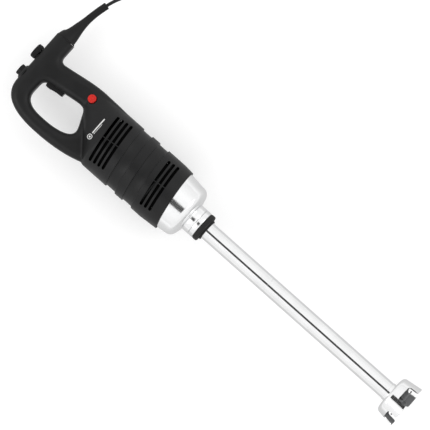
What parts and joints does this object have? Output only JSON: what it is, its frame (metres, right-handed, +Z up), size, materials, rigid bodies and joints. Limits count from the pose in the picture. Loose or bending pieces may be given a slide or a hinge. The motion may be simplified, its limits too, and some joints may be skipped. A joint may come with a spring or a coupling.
{
  "type": "immersion blender",
  "caption": "Stick blender with a D handle, round vented motor casing, polished end bell, detachable steel shaft and a pronged blade guard.",
  "frame": {"origin": "on the table below the middle of the tool (without its cord), which lies on its motor casing", "axes": "+X along the shaft towards the blade, +Y towards the cord spur, +Z up through the side with the red button"},
  "size_m": [0.8465, 0.4178, 0.109],
  "materials": {
    "casing_plastic": "fine moulded texture, satin",
    "trim_plastic": "satin moulded",
    "red_plastic": "satin gloss",
    "boot_rubber": "soft matt",
    "cord_jacket": "smooth jacket",
    "ring_rubber": "soft matt",
    "polished_aluminium": "polished, turned",
    "polished_steel": "polished",
    "blade_steel": "ground",
    "plain_steel": "turned and zinc plated",
    "core_steel": "laminated",
    "copper": "enamelled wire and copper bars",
    "bronze": "sintered",
    "inner_plastic": "glass filled",
    "pale_plastic": "moulded",
    "board_green": "lacquered laminate",
    "carbon": "pressed graphite"
  },
  "bodies": {
    "motor_unit": {"housing_front": "casing_plastic", "housing_rear": "casing_plastic", "housing_screws": "plain_steel", "trigger_spring": "plain_steel", "switch_module": "inner_plastic", "unlock_spring": "plain_steel", "lockout_switch": "inner_plastic", "side_button_spring": "plain_steel", "potentiometer": "inner_plastic", "control_board": "board_green", "capacitor": "bronze", "supply_lead": "cord_jacket", "cord_clamp": "inner_plastic", "clamp_screws": "plain_steel", "cord_boot": "boot_rubber", "mains_cord": "cord_jacket", "cord_coil": "cord_jacket", "cord_tie": "trim_plastic", "cord_tail": "cord_jacket", "plug_body": "boot_rubber", "plug_pins": "plain_steel", "stator_core": "core_steel", "field_coils": "copper", "motor_bolts": "plain_steel", "bearing_bracket": "inner_plastic", "brush_holders": "bronze", "carbon_brushes": "carbon", "brush_springs": "plain_steel", "fan_baffle": "inner_plastic", "rear_bearing_outer": "plain_steel", "front_bearing_outer": "plain_steel", "motor_bell": "polished_aluminium", "collar": "polished_aluminium"},
    "trigger": {"trigger": "trim_plastic"},
    "unlock_button": {"unlock_button": "trim_plastic"},
    "side_button": {"side_button": "red_plastic"},
    "speed_dial": {"speed_dial": "trim_plastic"},
    "armature": {"armature_shaft": "plain_steel", "armature_core": "core_steel", "armature_windings": "copper", "commutator": "copper", "cooling_fan": "pale_plastic", "rear_bearing_inner": "plain_steel", "front_bearing_inner": "plain_steel", "motor_coupling": "plain_steel"},
    "rear_balls": {"rear_bearing_balls": "plain_steel"},
    "front_balls": {"front_bearing_balls": "plain_steel"},
    "stick": {"tube_adapter": "polished_steel", "stick_tube": "polished_steel", "upper_bushing": "bronze", "lower_bushing": "bronze", "shaft_seal": "ring_rubber", "blade_guard": "polished_steel"},
    "nut": {"coupling_nut": "polished_aluminium", "rubber_ring": "ring_rubber"},
    "drive": {"drive_shaft": "plain_steel", "shaft_coupling": "plain_steel", "blade": "blade_steel", "blade_nut": "blade_steel"}
  },
  "joints": [
    {"name": "trigger_pull", "type": "slide", "parent": "motor_unit", "child": "trigger", "axis": [0, 1, 0], "range_m": [0, 0.0045], "stiffness_N_per_m": 600, "springref_m": -0.004, "deforming": ["trigger_spring"]},
    {"name": "unlock_press", "type": "slide", "parent": "motor_unit", "child": "unlock_button", "axis": [1, 0, 0], "range_m": [0, 0.003], "stiffness_N_per_m": 500, "springref_m": -0.004, "deforming": ["unlock_spring"]},
    {"name": "side_button_press", "type": "slide", "parent": "motor_unit", "child": "side_button", "axis": [0, 0, -1], "range_m": [0, 0.003], "stiffness_N_per_m": 500, "springref_m": -0.004, "deforming": ["side_button_spring"]},
    {"name": "speed_dial_turn", "type": "hinge", "parent": "motor_unit", "child": "speed_dial", "pos_m": [-0.4085, -0.016, 0.0545], "axis": [1, 0, 0], "range_deg": [0, 270]},
    {"name": "armature_spin", "type": "hinge", "parent": "motor_unit", "child": "armature", "pos_m": [-0.1585, -0.0495, 0.0545], "axis": [1, 0, 0], "continuous": true},
    {"name": "rear_balls_spin", "type": "hinge", "parent": "motor_unit", "child": "rear_balls", "pos_m": [-0.2195, -0.0495, 0.0545], "axis": [1, 0, 0], "continuous": true},
    {"name": "front_balls_spin", "type": "hinge", "parent": "motor_unit", "child": "front_balls", "pos_m": [-0.0645, -0.0495, 0.0545], "axis": [1, 0, 0], "continuous": true},
    {"name": "stick_pull_off", "type": "slide", "parent": "motor_unit", "child": "stick", "axis": [1, 0, 0], "range_m": [0, 0.04]},
    {"name": "nut_turn", "type": "hinge", "parent": "stick", "child": "nut", "pos_m": [-0.0285, -0.0495, 0.0545], "axis": [1, 0, 0], "range_deg": [0, 60]},
    {"name": "blade_spin", "type": "hinge", "parent": "stick", "child": "drive", "pos_m": [0.1665, -0.0495, 0.0545], "axis": [1, 0, 0], "continuous": true}
  ],
  "couplings": [
    {"joint": "blade_spin", "follows": "armature_spin", "ratio": 1},
    {"joint": "rear_balls_spin", "follows": "armature_spin", "ratio": 0.3667},
    {"joint": "front_balls_spin", "follows": "armature_spin", "ratio": 0.3636}
  ]
}
